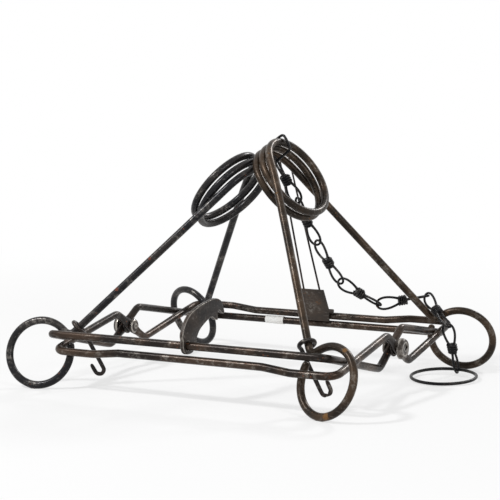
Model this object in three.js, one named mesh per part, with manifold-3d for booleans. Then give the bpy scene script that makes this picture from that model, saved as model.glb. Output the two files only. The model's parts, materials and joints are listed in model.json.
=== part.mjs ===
// Double-spring body-grip trap, sprung and lying flat on its four spring eyes.
// Millimetres, X along the front bars, Y from front to back, Z up, floor at zero.
import * as THREE from 'three';
import { mergeVertices } from 'three/addons/utils/BufferGeometryUtils.js';
import Module from 'manifold-3d';

const wasm = await Module();
wasm.setup();

const V = (x, y, z) => new THREE.Vector3(x, y, z);

// Running clearance between pieces that touch, and the overrun of every cut
const clearance = 0.35;
const overrun = 4;

// Jaws: two rod frames crossing at the side pivots
const rodDiameter = 7.2;
const rodSides = 8;
const jawHalfWidth = 139;
const jawHalfDepth = 127;
const jawSideShift = 3.5;
const cornerBend = 11;
const pivotHeight = 39.5;
const kneeOut = 24;
const kneeRise = 15;
const kneeBend = 12;
const upperFrontHeight = 50.5;
const upperBackHeight = 33.8;
const lowerFrontHeight = 35.5;
const lowerBackHeight = 45;
const barJoggle = 3;
const joggleFromCorner = 42;
const joggleRun = 26;
const joggleBend = 40;
const flatThickness = 4.4;
const flatWidth = 11.6;
const flatReach = 7;
const flatBlend = 7;

// Pivot rivets and their spacer washers
const rivetDiameter = 5.6;
const outerHeadDiameter = 19;
const outerHeadHeight = 5;
const headRimWidth = 3.2;
const headDish = 1.6;
const innerHeadDiameter = 14.6;
const innerHeadHeight = 3.4;
const washerDiameter = 15;
const rivetSides = 20;

// Springs: one wire each, from eye to eye over the coil
const springWire = 7.2;
const springSides = 6;
const coilMeanRadius = 37.2;
const coilPitch = 8.4;
const coilWholeTurns = 2;
const coilStepsPerTurn = 24;
const springHeight = 188.5;
const eyeHalfSpacing = 124;
const eyeMeanRadius = 29.6;
const eyeOffset = 8.6;
const eyeFootBend = 7;
const eyeEndAngle = 41;
const eyeSteps = 26;
const legStraight = 24;
const floorFlat = 0.5;
const leftLean = 41.4;
const rightLean = 36;
const leftCentreX = -147.6;
const rightCentreX = 144.8;
const leftYaw = 3.4;
const rightYaw = 5;
const leftCentreY = 2.4;
const rightCentreY = -2;

// Dog: flat latch plate, its hole on the upper jaw's front bar
const dogThickness = 3.4;
const dogLength = 74;
const dogWidth = 20;
const dogX = 1.6;
const dogPitch = 27;
const dogHeadGap = 0.4;
const dogPivotAlong = 6;

// Trigger: stamped bracket on the lower jaw's back bar, with two feeler wires
const sheet = 1.6;
const bracketWidth = 26;
const bracketDrop = 5;
const bracketRise = 28;
const bracketCrease = 5;
const bracketLean = -30;
const feelerLean = -21.5;
const bracketX = 4;
const tabWidth = 5;
const knobDiameter = 4;
const knobLength = 3.4;
const feelerWire = 2;
const feelerLength = 169;
const leftFeelerFoot = -11;
const leftFeelerTop = -10.5;
const rightFeelerFoot = 7;
const rightFeelerTop = -1.2;
const feelerFoot = 12;
const feelerTurn = 5;

// Tape band on the lower back bar
const tapeLength = 20;
const tapeCentreX = -45;
const tapeThickness = 0.34;
const tapeGap = 0.16;

// Safety hooks, bent from one wire round the front spring legs
const hookWire = 4;
const hookSides = 6;
const hookEyeGap = 1.2;
const hookEyeTurn = 280;
const hookNeck = 4;
const hookNeckBend = 5;
const hookShank = 44;
const hookReturn = 12;
const hookTurnRadius = 4.2;
const hookUpLeg = 12;
const leftHookWay = V(0.38, 0.25, -0.88);
const rightHookWay = V(0.42, 0.08, -0.9);
const leftHookTurn = V(-1, -0.5, 0);
const rightHookTurn = V(1, 0.4, 0);

// Chain of knotted double-loop links, and its end ring
const linkWire = 2.5;
const linkPitch = 46;
const linkLoopWidth = 16;
const linkGap = 2;
const knotDiameter = 9;
const knotLength = 8.4;
const linkFace = V(0.46, -0.88, 0.1);
const anchorWire = 2.8;
const anchorAngle = 100;
const anchorSlot = 6.5;
const anchorHoldAlong = -6;
const anchorHoldUp = 2.4;
const anchorGap = 0.5;
const anchorBend = 4;
const ringWire = 3;
const ringMeanRadius = 30;
const ringX = 156.6;
const ringY = 74.2;
const ringLift = 3.1;
const ringSteps = 36;

const steel = (color, roughness = 0.55, metalness = 0.75) =>
  new THREE.MeshStandardMaterial({ color, roughness, metalness });
const jawSteel = steel(0x3a332e);
const darkSteel = steel(0x2a2a2b);
const brownSteel = steel(0x4a3b33);
const chainSteel = steel(0x17171a, 0.5);
const plateSteel = steel(0x36322f, 0.6);
const whiteTape = new THREE.MeshStandardMaterial({ color: 0xe8e6e0, roughness: 0.8, metalness: 0 });

const radians = THREE.MathUtils.degToRad;
const rodRadius = rodDiameter / 2;
const wireRadius = springWire / 2;

// A closed manifold solid from a three.js geometry, and back again
function toSolid(geometry) {
  const bare = geometry.clone();
  bare.deleteAttribute('normal');
  bare.deleteAttribute('uv');
  const merged = mergeVertices(bare, rodRadius / 5000);
  return new wasm.Manifold(new wasm.Mesh({
    numProp: 3,
    vertProperties: new Float32Array(merged.attributes.position.array),
    triVerts: new Uint32Array(merged.index.array),
  }));
}

function toGeometry(solid) {
  const mesh = solid.getMesh();
  const geometry = new THREE.BufferGeometry();
  geometry.setAttribute('position', new THREE.BufferAttribute(new Float32Array(mesh.vertProperties), 3));
  geometry.setIndex(new THREE.BufferAttribute(new Uint32Array(mesh.triVerts), 1));
  geometry.computeVertexNormals();
  return geometry;
}

function join(first, ...others) {
  return toGeometry(others.reduce((sum, each) => sum.add(toSolid(each)), toSolid(first)));
}

function cut(body, ...tools) {
  return toGeometry(tools.reduce((left, tool) => left.subtract(toSolid(tool)), toSolid(body)));
}

// Stations along a bent wire: straight runs and a round bend at each corner
function bentWire(corners, closed, stepAngle = radians(20)) {
  const stations = [];
  const count = corners.length;
  corners.forEach(({ at, bend = 0 }, i) => {
    const open = !closed && (i === 0 || i === count - 1);
    if (open || bend === 0) {
      stations.push(at.clone());
      return;
    }
    const before = corners[(i + count - 1) % count].at;
    const after = corners[(i + 1) % count].at;
    const arriving = at.clone().sub(before).normalize();
    const leaving = after.clone().sub(at).normalize();
    const turn = arriving.angleTo(leaving);
    const start = at.clone().addScaledVector(arriving, -bend * Math.tan(turn / 2));
    const inward = leaving.clone().sub(arriving).normalize();
    const centre = at.clone().addScaledVector(inward, bend / Math.cos(turn / 2));
    const axis = new THREE.Vector3().crossVectors(arriving, leaving).normalize();
    const steps = Math.max(2, Math.ceil(turn / stepAngle));
    for (let k = 0; k <= steps; k += 1) {
      stations.push(start.clone().sub(centre).applyAxisAngle(axis, (turn * k) / steps).add(centre));
    }
  });
  return stations;
}

// Directions along a path, one a station
function tangents(path, closed) {
  const last = path.length - 1;
  return path.map((p, i) => {
    const before = path[closed ? (i + last) % (last + 1) : Math.max(0, i - 1)];
    const after = path[closed ? (i + 1) % (last + 1) : Math.min(last, i + 1)];
    const arriving = p.clone().sub(before).normalize();
    const leaving = after.clone().sub(p).normalize();
    return arriving.add(leaving).normalize();
  });
}

// One closed tube through the stations. The section is a ring of `sides` points; `sectionAt` gives its
// half-size across and along the frame's second axis. `up` fixes the frame; without it the frame is
// carried along with the least twist.
function sweptWire(path, { closed = false, sides = 8, radius, sectionAt, up }) {
  const directions = tangents(path, closed);
  let normal = new THREE.Vector3().crossVectors(up ?? leastAxis(directions[0]), directions[0]).normalize();
  const rings = path.map((p, i) => {
    const along = directions[i];
    if (up) normal = new THREE.Vector3().crossVectors(up, along).normalize();
    else normal = normal.clone().addScaledVector(along, -normal.dot(along)).normalize();
    const side = new THREE.Vector3().crossVectors(along, normal);
    const [across, deep] = sectionAt ? sectionAt(p) : [radius, radius];
    return Array.from({ length: sides }, (_, j) => {
      const angle = (2 * Math.PI * (j + 0.5)) / sides;
      return p.clone()
        .addScaledVector(normal, across * Math.cos(angle))
        .addScaledVector(side, deep * Math.sin(angle));
    });
  });
  const points = rings.flat();
  const faces = [];
  const spans = closed ? rings.length : rings.length - 1;
  for (let i = 0; i < spans; i += 1) {
    const here = i * sides;
    const next = ((i + 1) % rings.length) * sides;
    for (let j = 0; j < sides; j += 1) {
      const k = (j + 1) % sides;
      faces.push(here + j, here + k, next + j, here + k, next + k, next + j);
    }
  }
  if (!closed) {
    const first = points.length;
    const lastRing = (rings.length - 1) * sides;
    points.push(path[0].clone(), path[path.length - 1].clone());
    for (let j = 0; j < sides; j += 1) {
      const k = (j + 1) % sides;
      faces.push(first, k, j, first + 1, lastRing + j, lastRing + k);
    }
  }
  const geometry = new THREE.BufferGeometry();
  geometry.setAttribute('position', new THREE.Float32BufferAttribute(points.flatMap((p) => [p.x, p.y, p.z]), 3));
  geometry.setIndex(faces);
  geometry.computeVertexNormals();
  return geometry;
}

// The world axis least in line with a direction
function leastAxis(direction) {
  const size = direction.toArray().map(Math.abs);
  const least = size.indexOf(Math.min(...size));
  return new THREE.Vector3().setComponent(least, 1);
}

function piece(name, geometry, material) {
  const mesh = new THREE.Mesh(geometry, material);
  mesh.name = name;
  return mesh;
}

// A solid turned about X, from half its outline as [distance along X, radius] pairs
function turnedAlongX(outline, sides) {
  const profile = outline.map(([along, radius]) => new THREE.Vector2(radius, along));
  return new THREE.LatheGeometry(profile, sides).rotateZ(-Math.PI / 2);
}

// One jaw: a closed rod frame whose side rods step through the pivots
function jawFrame({ shift, front, back, step, joggle }) {
  const at = (x, y, z, bend = 0) => ({ at: V(x, y, z), bend });
  const left = -jawHalfWidth + shift;
  const right = jawHalfWidth + shift;
  const slope = kneeRise / kneeOut;
  const jog = (x, y) => at(x, y, pivotHeight + step * slope * y);
  const knee = (x, y) => at(x, y, pivotHeight + step * slope * y, kneeBend);
  const flats = [flatReach + flatBlend, flatReach].map((along) => along * Math.cos(Math.atan(slope)));
  const sideJogs = [flats[0], flats[1], -flats[1], -flats[0]];
  const barEnds = (x, y, z, run) => (joggle === 0 ? [] : [
    at(x + run * joggleFromCorner, y, z, joggleBend),
    at(x + run * (joggleFromCorner + joggleRun), y, z + joggle, joggleBend),
  ]);
  const frontEnds = (x, run) => barEnds(x, -jawHalfDepth, front, run);
  const backEnds = (x, run) => barEnds(x, jawHalfDepth, back, run).map((end) => end);
  const path = bentWire([
    knee(left, kneeOut),
    ...sideJogs.map((y) => jog(left, y)),
    knee(left, -kneeOut),
    at(left, -jawHalfDepth, front, cornerBend),
    ...frontEnds(left, 1),
    ...frontEnds(right, -1).reverse(),
    at(right, -jawHalfDepth, front, cornerBend),
    knee(right, -kneeOut),
    ...sideJogs.map((y) => jog(right, -y)),
    knee(right, kneeOut),
    at(right, jawHalfDepth, back, cornerBend),
    ...backEnds(right, -1).map((end) => mirrorJoggle(end, back)),
    ...backEnds(left, 1).reverse().map((end) => mirrorJoggle(end, back)),
    at(left, jawHalfDepth, back, cornerBend),
  ], true);
  const sectionAt = (p) => {
    const reach = Math.hypot(p.y, p.z - pivotHeight);
    const nearSide = Math.abs(p.y) < jawHalfDepth / 2;
    const share = nearSide ? 1 - THREE.MathUtils.clamp((reach - flatReach) / flatBlend, 0, 1) : 0;
    return [
      THREE.MathUtils.lerp(rodRadius, flatThickness / 2, share),
      THREE.MathUtils.lerp(rodRadius, flatWidth / 2, share),
    ];
  };
  const frame = sweptWire(path, { closed: true, sides: rodSides, sectionAt, up: V(0, 0, 1) });
  return cut(frame, rivetHole(left), rivetHole(right));
}

// On the back bar the joggle goes down, towards the other jaw
function mirrorJoggle(end, height) {
  return { at: V(end.at.x, end.at.y, 2 * height - end.at.z), bend: end.bend };
}

function rivetHole(x) {
  const hole = new THREE.CylinderGeometry(
    rivetDiameter / 2 + clearance, rivetDiameter / 2 + clearance, flatThickness + overrun, rivetSides);
  return hole.rotateZ(Math.PI / 2).translate(x, 0, pivotHeight);
}

// A headed rivet along X; `outward` is the side of its dished outer head
function pivotRivet(outward) {
  const reach = jawSideShift + flatThickness / 2 + clearance;
  const shank = rivetDiameter / 2;
  const outer = outerHeadDiameter / 2;
  const inner = innerHeadDiameter / 2;
  const rim = reach + outerHeadHeight;
  const geometry = turnedAlongX([
    [-reach - innerHeadHeight, 0],
    [-reach - innerHeadHeight, inner * 0.62],
    [-reach - innerHeadHeight * 0.55, inner * 0.9],
    [-reach, inner],
    [-reach, shank],
    [reach, shank],
    [reach, outer],
    [reach + outerHeadHeight * 0.45, outer],
    [rim, outer - headRimWidth * 0.4],
    [rim, outer - headRimWidth],
    [rim - headDish, outer - headRimWidth * 1.5],
    [rim - headDish, shank],
    [rim - headDish * 0.4, 0],
  ], rivetSides);
  if (outward < 0) geometry.rotateY(Math.PI);
  return geometry;
}

function pivotWasher() {
  const half = jawSideShift - flatThickness / 2 - clearance;
  const hole = rivetDiameter / 2 + clearance;
  return turnedAlongX([
    [-half, washerDiameter / 2],
    [half, washerDiameter / 2],
    [half, hole],
    [-half, hole],
    [-half, washerDiameter / 2],
  ], rivetSides);
}

// Spring sizes worked out in its own frame: X along the coil's axis, outward; Y along the eyes; Z up the legs
const eyeToCoil = Math.hypot(eyeHalfSpacing, springHeight);
const legAngle = Math.atan2(eyeHalfSpacing, springHeight) - Math.asin(coilMeanRadius / eyeToCoil);
const coilSweep = Math.PI - 2 * legAngle + 2 * Math.PI * coilWholeTurns;
const coilWidth = (coilPitch * coilSweep) / (2 * Math.PI);

// One leg and eye, from the coil's tangent point outwards; `end` is -1 in front and 1 behind
function legAndEye(end) {
  const up = V(0, -end * Math.sin(legAngle), Math.cos(legAngle));
  const centre = V(0, end * eyeHalfSpacing, 0);
  const foot = centre.clone().addScaledVector(up, eyeMeanRadius).add(V(-eyeOffset, 0, 0));
  const coilSide = V(-end * coilWidth / 2, end * Math.cos(legAngle) * coilMeanRadius,
    springHeight + Math.sin(legAngle) * coilMeanRadius);
  const straight = coilSide.clone().addScaledVector(up, -legStraight);
  const runStart = foot.clone().add(V(eyeOffset, 0, 0));
  const top = bentWire([
    { at: straight },
    { at: foot, bend: eyeFootBend },
    { at: runStart },
  ], false);
  const round = (angle) => centre.clone()
    .addScaledVector(up, eyeMeanRadius * Math.cos(angle))
    .add(V(eyeMeanRadius * Math.sin(angle), 0, 0));
  const full = radians(360 - eyeEndAngle);
  const circle = Array.from({ length: eyeSteps }, (_, k) => round((full * (k + 1)) / eyeSteps));
  const finish = circle[eyeSteps - 1].clone()
    .addScaledVector(up, -springWire * Math.sin(full))
    .add(V(springWire * Math.cos(full), 0, 0));
  return [...top, ...circle, finish];
}

// The whole wire of a spring, from the front eye over the coil to the back eye
function springPath() {
  const steps = Math.round((coilStepsPerTurn * coilSweep) / (2 * Math.PI));
  const coil = Array.from({ length: steps + 1 }, (_, k) => {
    const angle = legAngle + (coilSweep * k) / steps;
    return V(
      coilWidth * (0.5 - k / steps),
      -coilMeanRadius * Math.cos(angle),
      springHeight + coilMeanRadius * Math.sin(angle),
    );
  });
  return [...legAndEye(-1).reverse(), ...coil, ...legAndEye(1)];
}

// Least gap between parts of one wire that lie apart along it, measured on points
function leastSelfGap(path, diameter) {
  const points = [];
  for (let i = 0; i + 1 < path.length; i += 1) {
    const span = path[i].distanceTo(path[i + 1]);
    const steps = Math.max(1, Math.ceil((2 * span) / diameter));
    for (let k = 0; k < steps; k += 1) points.push(path[i].clone().lerp(path[i + 1], k / steps));
  }
  const travelled = [0];
  for (let i = 1; i < points.length; i += 1) {
    travelled.push(travelled[i - 1] + points[i].distanceTo(points[i - 1]));
  }
  let least = Infinity;
  for (let i = 0; i < points.length; i += 1) {
    for (let j = i + 1; j < points.length; j += 1) {
      if (travelled[j] - travelled[i] < Math.PI * diameter) continue;
      least = Math.min(least, points[i].distanceTo(points[j]));
    }
  }
  return least - diameter;
}

// Height of the eyes' centres that stands their wire on the floor, less the ground flat
function eyeCentreHeight(lean) {
  const rise = Math.cos(legAngle) * Math.cos(lean);
  return eyeMeanRadius * Math.hypot(rise, Math.sin(lean)) + wireRadius - floorFlat;
}

// A spring in its place: leaned inward, turned to its side, its eyes ground flat on the floor
function placedSpring(name, side, [centreX, centreY], leanDegrees, yawDegrees, material) {
  const lean = radians(leanDegrees);
  const holder = new THREE.Group();
  holder.position.set(centreX, centreY, eyeCentreHeight(lean));
  holder.rotation.set(0, -lean, (side < 0 ? Math.PI : 0) - radians(yawDegrees), 'ZYX');
  holder.updateMatrixWorld(true);
  const wire = sweptWire(springPath(), { sides: springSides, radius: wireRadius });
  const floor = new THREE.BoxGeometry(4 * jawHalfWidth, 4 * jawHalfDepth, overrun).translate(0, 0, -overrun / 2);
  floor.applyMatrix4(holder.matrixWorld.clone().invert());
  holder.add(piece(name, cut(wire, floor), material));
  return holder;
}

// Outline of the dog as shares of its length and width, from its front edge to its notched tip
const dogOutlineShares = [
  [0.25, -0.15], [0.38, 0.0], [0.58, 0.0], [0.62, -0.28], [0.75, -0.43], [0.885, -0.6], [0.83, -0.2],
  [0.98, -0.55], [1.0, -0.2], [0.92, 0.36], [0.75, 0.6], [0.32, 1.02], [0.2, 0.85], [0.07, 0.74],
];

function dogPlate() {
  const drop = upperFrontHeight - (lowerFrontHeight + barJoggle) - rodRadius;
  const headRadius = drop - dogHeadGap;
  const pitch = radians(dogPitch);
  const shape = new THREE.Shape();
  const local = ([along, across]) => [along * dogLength - dogPivotAlong, across * dogWidth];
  const startAngle = Math.PI * 0.62;
  const endAngle = 1.5 * Math.PI - pitch;
  shape.moveTo(headRadius * Math.cos(startAngle), headRadius * Math.sin(startAngle));
  shape.absarc(0, 0, headRadius, startAngle, endAngle, false);
  const heel = [headRadius * 1.25, -headRadius];
  shape.lineTo(
    heel[0] * Math.cos(pitch) + heel[1] * Math.sin(pitch),
    -heel[0] * Math.sin(pitch) + heel[1] * Math.cos(pitch),
  );
  dogOutlineShares.forEach((share) => shape.lineTo(...local(share)));
  shape.closePath();
  const hole = new THREE.Path();
  hole.absarc(0, 0, rodRadius + clearance, 0, 2 * Math.PI, true);
  shape.holes.push(hole);
  const plate = new THREE.ExtrudeGeometry(shape, { depth: dogThickness, bevelEnabled: false, curveSegments: 16 });
  plate.translate(0, 0, -dogThickness / 2);
  // The outline's length runs back and up: its X becomes Y, its Y becomes Z
  plate.rotateY(Math.PI / 2).rotateX(Math.PI / 2);
  plate.rotateX(pitch);
  return plate;
}

const bracketBarHeight = lowerBackHeight - barJoggle;

// Bracket sheet in front of the bar, leaning back above its crease, with two tabs curled over the bar
function bracketSheet() {
  const front = rodRadius + clearance;
  const lean = Math.tan(radians(bracketLean));
  const profile = new THREE.Shape();
  profile.moveTo(-front, -bracketDrop);
  profile.lineTo(-front, bracketCrease);
  profile.lineTo(-front + lean * (bracketRise - bracketCrease), bracketRise);
  profile.lineTo(-front + lean * (bracketRise - bracketCrease) - sheet, bracketRise);
  profile.lineTo(-front - sheet, bracketCrease);
  profile.lineTo(-front - sheet, -bracketDrop);
  profile.closePath();
  const settings = (depth) => ({ depth, bevelEnabled: false, curveSegments: 10 });
  const plate = new THREE.ExtrudeGeometry(profile, settings(bracketWidth)).translate(0, 0, -bracketWidth / 2);
  const curl = new THREE.Shape();
  curl.absarc(0, 0, front + sheet, Math.PI, 0, true);
  curl.lineTo(front + sheet, -rodRadius / 2);
  curl.lineTo(front, -rodRadius / 2);
  curl.absarc(0, 0, front, 0, Math.PI, false);
  curl.closePath();
  const tab = (x) => new THREE.ExtrudeGeometry(curl, settings(tabWidth)).translate(0, 0, x);
  const knob = new THREE.CylinderGeometry(knobDiameter / 2, knobDiameter / 2, knobLength + sheet, 12)
    .rotateX(Math.PI / 2)
    .translate(-front - sheet / 2, bracketCrease * 1.1, bracketWidth / 2 + knobLength / 2);
  const body = join(plate, tab(-bracketWidth / 2), tab(bracketWidth / 2 - tabWidth), knob);
  return acrossToWorld(body);
}

// An extrusion drawn in its X and Y becomes one in Y and Z, its depth along minus X
function acrossToWorld(geometry) {
  return geometry.rotateY(Math.PI / 2).rotateX(Math.PI / 2).scale(1, 1, 1);
}

function feeler(x, topX) {
  const lean = radians(feelerLean);
  const behind = (z) => feelerWire / 2 - rodRadius + Math.tan(radians(bracketLean)) * (z - bracketCrease);
  const start = V(x, behind(feelerFoot), feelerFoot);
  const top = start.clone().add(V(topX - x, feelerLength * Math.sin(lean), feelerLength * Math.cos(lean)));
  const footEnd = start.clone().add(V(feelerTurn, 0, 0));
  const path = bentWire([{ at: footEnd }, { at: start, bend: feelerWire }, { at: top }], false);
  return sweptWire(path, { sides: 6, radius: feelerWire / 2 });
}

function tapeBand() {
  const inner = rodRadius + tapeGap;
  const half = tapeLength / 2;
  return turnedAlongX([
    [-half, inner + tapeThickness],
    [half, inner + tapeThickness],
    [half, inner],
    [-half, inner],
    [-half, inner + tapeThickness],
  ], 16);
}

// One knotted link along X: a loop each way, in planes at a right angle, and the wrapped knot between
function chainLink() {
  const reach = linkPitch / 2 + (linkWire + linkGap) / 2;
  const start = knotLength * 0.1;
  const halfLength = (reach - start) / 2;
  const halfWidth = (linkLoopWidth - linkWire) / 2;
  const loop = (side) => {
    const steps = 18;
    const path = Array.from({ length: steps }, (_, k) => {
      const angle = (2 * Math.PI * k) / steps;
      const along = side * (start + halfLength - halfLength * Math.cos(angle));
      const across = halfWidth * Math.sin(angle) * (0.78 - 0.3 * Math.cos(angle));
      return side < 0 ? V(along, across, 0) : V(along, 0, across);
    });
    return sweptWire(path, { closed: true, sides: 6, radius: linkWire / 2 });
  };
  const wraps = 3;
  const wrap = knotLength / wraps;
  const knotRadius = knotDiameter / 2;
  const waist = knotRadius - linkWire * 0.35;
  const outline = [[-knotLength / 2, 0], [-knotLength / 2, waist]];
  for (let k = 0; k < wraps; k += 1) {
    const left = -knotLength / 2 + k * wrap;
    outline.push([left + wrap * 0.3, knotRadius], [left + wrap * 0.7, knotRadius], [left + wrap, waist]);
  }
  outline.push([knotLength / 2, 0]);
  return join(loop(-1), loop(1), turnedAlongX(outline, 10));
}

// Where each link hooks into the next, from below the anchor link to the floor
const chainJoints = [
  V(27.0, 33.0, 163.8),
  V(38.4, 50.8, 122.9),
  V(52.5, 71.8, 84.5),
  V(79.3, 101.0, 61.1),
  V(121.8, 116.3, 69.8),
  V(153.2, 91.2, 47.4),
  V(158.1, 104.5, 3.6),
];

// How far each link is turned about its length from the one before, in degrees
const linkTwists = [15, 18, 13, 20, 22, -28, 15];

// Lays a link between two joints; its far loop faces along `face`, which the next link takes on
function placeLink(mesh, [from, to], face, twist) {
  const along = to.clone().sub(from).normalize();
  face.addScaledVector(along, -face.dot(along)).normalize().applyAxisAngle(along, radians(twist));
  const across = new THREE.Vector3().crossVectors(along, face);
  mesh.position.copy(from).lerp(to, 0.5);
  mesh.quaternion.setFromRotationMatrix(new THREE.Matrix4().makeBasis(along, face, across));
  return mesh;
}

// Anchor link: a rounded oblong round the coil's turns, seen from its own centre on the wires
function anchorLink() {
  const turnsHere = coilWholeTurns + 1;
  const halfLong = (coilPitch * (turnsHere - 1) + springWire + anchorWire) / 2 + anchorGap;
  const outward = wireRadius + anchorGap + anchorWire / 2;
  const inward = outward + anchorSlot;
  const at = (x, z) => ({ at: V(x, 0, z), bend: anchorBend });
  const path = bentWire([
    at(-halfLong, -inward), at(halfLong, -inward), at(halfLong, outward), at(-halfLong, outward),
  ], true, radians(30));
  return {
    geometry: sweptWire(path, { closed: true, sides: 6, radius: anchorWire / 2 }),
    hold: V(anchorHoldAlong, 0, anchorHoldUp - inward),
  };
}

// Middle of the turns at an angle along the coil, as a distance along the coil's axis
function turnsMiddle(angle) {
  const shareAt = (turn) => (angle + 2 * Math.PI * turn - legAngle) / coilSweep;
  return coilWidth * (0.5 - (shareAt(0) + shareAt(coilWholeTurns)) / 2);
}

// A safety hook: an eye round the leg, a neck, a straight shank and a hooked tip
function safetyHook(centre, legWay, shankWay, turnWay) {
  const way = shankWay.clone().normalize();
  const tangent = way.clone().addScaledVector(legWay, -way.dot(legWay)).normalize();
  const arm = new THREE.Vector3().crossVectors(legWay, tangent);
  const eyeRadius = wireRadius + hookEyeGap + hookWire / 2;
  const steps = 14;
  const eye = Array.from({ length: steps }, (_, k) => {
    const angle = radians(hookEyeTurn) * (k / steps - 1);
    return centre.clone()
      .addScaledVector(arm, eyeRadius * Math.cos(angle))
      .addScaledVector(tangent, eyeRadius * Math.sin(angle));
  });
  const leave = centre.clone().addScaledVector(arm, eyeRadius);
  const neck = leave.clone().addScaledVector(tangent, hookNeck);
  const side = turnWay.clone().addScaledVector(way, -turnWay.dot(way)).normalize();
  const tip = neck.clone().addScaledVector(way, hookShank);
  const turned = tip.clone().addScaledVector(side, 2 * hookTurnRadius);
  const end = turned.clone().addScaledVector(way, -hookReturn);
  const shank = bentWire([
    { at: leave }, { at: neck, bend: hookNeckBend }, { at: tip, bend: hookTurnRadius },
    { at: turned, bend: hookTurnRadius }, { at: end },
  ], false, radians(30));
  return sweptWire([...eye, ...shank], { sides: hookSides, radius: hookWire / 2 });
}

const model = new THREE.Group();

model.add(piece('lower_jaw', jawFrame({
  shift: jawSideShift, front: lowerFrontHeight, back: lowerBackHeight, step: -1, joggle: barJoggle,
}), jawSteel));
model.add(piece('upper_jaw', jawFrame({
  shift: -jawSideShift, front: upperFrontHeight, back: upperBackHeight, step: 1, joggle: 0,
}), jawSteel));

for (const [side, x] of [['left', -jawHalfWidth], ['right', jawHalfWidth]]) {
  const rivet = piece(`${side}_pivot_rivet`, pivotRivet(Math.sign(x)), plateSteel);
  rivet.position.set(x, 0, pivotHeight);
  const washer = piece(`${side}_pivot_washer`, pivotWasher(), plateSteel);
  washer.position.copy(rivet.position);
  model.add(rivet, washer);
}

const leftSpring = placedSpring('left_spring', -1, [leftCentreX, leftCentreY], leftLean, leftYaw, darkSteel);
const rightSpring = placedSpring('right_spring', 1, [rightCentreX, rightCentreY], rightLean, rightYaw, brownSteel);
model.add(leftSpring, rightSpring);

const dog = piece('trigger_dog', dogPlate(), plateSteel);
dog.position.set(dogX, -jawHalfDepth, upperFrontHeight);
model.add(dog);

const trigger = new THREE.Group();
trigger.position.set(bracketX, jawHalfDepth, bracketBarHeight);
trigger.add(piece('trigger_bracket', bracketSheet(), plateSteel));
trigger.add(piece('trigger_wire_left', feeler(leftFeelerFoot, leftFeelerTop), chainSteel));
trigger.add(piece('trigger_wire_right', feeler(rightFeelerFoot, rightFeelerTop), chainSteel));
model.add(trigger);

const tape = piece('tape_band', tapeBand(), whiteTape);
tape.position.set(tapeCentreX, jawHalfDepth, upperBackHeight);
model.add(tape);

const anchor = anchorLink();
const anchorTurn = radians(anchorAngle);
const anchorMesh = piece('chain_anchor_link', anchor.geometry, chainSteel);
anchorMesh.position.set(
  turnsMiddle(anchorTurn),
  -coilMeanRadius * Math.cos(anchorTurn),
  springHeight + coilMeanRadius * Math.sin(anchorTurn),
);
anchorMesh.rotation.x = Math.PI / 2 - anchorTurn;
rightSpring.add(anchorMesh);
rightSpring.updateMatrixWorld(true);

const joints = [anchorMesh.localToWorld(anchor.hold), ...chainJoints];
const linkShape = chainLink();
const face = linkFace.clone();
for (let k = 0; k < chainJoints.length; k += 1) {
  const link = piece(`chain_link_${k + 1}`, linkShape.clone(), chainSteel);
  model.add(placeLink(link, [joints[k], joints[k + 1]], face, linkTwists[k]));
}

for (const [side, holder, shankWay, turnWay, end] of [
  ['left', leftSpring, leftHookWay, leftHookTurn, 1],
  ['right', rightSpring, rightHookWay, rightHookTurn, -1],
]) {
  const legWay = V(0, -end * Math.sin(legAngle), Math.cos(legAngle));
  const centre = V(-eyeOffset, end * eyeHalfSpacing, 0).addScaledVector(legWay, eyeMeanRadius + hookUpLeg);
  holder.updateMatrixWorld(true);
  const worldWay = legWay.transformDirection(holder.matrixWorld);
  const worldCentre = holder.localToWorld(centre);
  const hook = safetyHook(V(0, 0, 0), worldWay, shankWay, turnWay);
  const mesh = piece(`${side}_safety_hook`, hook, darkSteel);
  mesh.position.copy(worldCentre);
  model.add(mesh);
}

const endRing = piece('chain_end_ring',
  new THREE.TorusGeometry(ringMeanRadius, ringWire / 2, 8, ringSteps), chainSteel);
endRing.position.set(ringX, ringY, (ringWire + ringLift) / 2);
endRing.rotation.x = Math.asin(ringLift / (2 * ringMeanRadius));
model.add(endRing);

// The middle of the trap's footprint stands over the origin
const footprint = new THREE.Box3().setFromObject(model, true).getCenter(V(0, 0, 0));
for (const child of model.children) {
  child.position.x -= footprint.x;
  child.position.y -= footprint.y;
}

console.log(`spring wire, least gap to itself: ${leastSelfGap(springPath(), springWire).toFixed(2)} mm`);

export default model;
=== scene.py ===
"""Looks of a sprung body-grip animal trap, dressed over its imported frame."""
import json
import logging
import math
from dataclasses import dataclass
from enum import Enum

import bmesh
import bpy
from mathutils import Matrix, Vector


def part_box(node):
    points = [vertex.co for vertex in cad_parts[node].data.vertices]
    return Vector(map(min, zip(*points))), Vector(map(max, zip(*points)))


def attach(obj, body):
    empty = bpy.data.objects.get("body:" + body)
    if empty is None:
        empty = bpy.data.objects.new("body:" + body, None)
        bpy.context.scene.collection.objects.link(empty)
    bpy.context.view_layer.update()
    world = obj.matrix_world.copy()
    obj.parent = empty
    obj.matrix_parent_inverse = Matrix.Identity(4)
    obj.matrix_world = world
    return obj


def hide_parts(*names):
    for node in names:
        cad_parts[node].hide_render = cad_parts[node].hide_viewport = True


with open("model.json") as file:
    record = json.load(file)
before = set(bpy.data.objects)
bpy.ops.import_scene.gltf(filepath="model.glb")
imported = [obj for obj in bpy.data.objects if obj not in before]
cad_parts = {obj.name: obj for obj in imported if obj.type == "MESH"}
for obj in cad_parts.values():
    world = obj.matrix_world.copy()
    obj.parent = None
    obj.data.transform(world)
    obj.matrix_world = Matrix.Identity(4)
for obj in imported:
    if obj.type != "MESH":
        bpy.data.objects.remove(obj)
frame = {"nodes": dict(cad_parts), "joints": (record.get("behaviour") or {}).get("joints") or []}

Triple = tuple[float, float, float]
Pair = tuple[float, float]
Tree = bpy.types.NodeTree
Socket = bpy.types.NodeSocket

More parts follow.
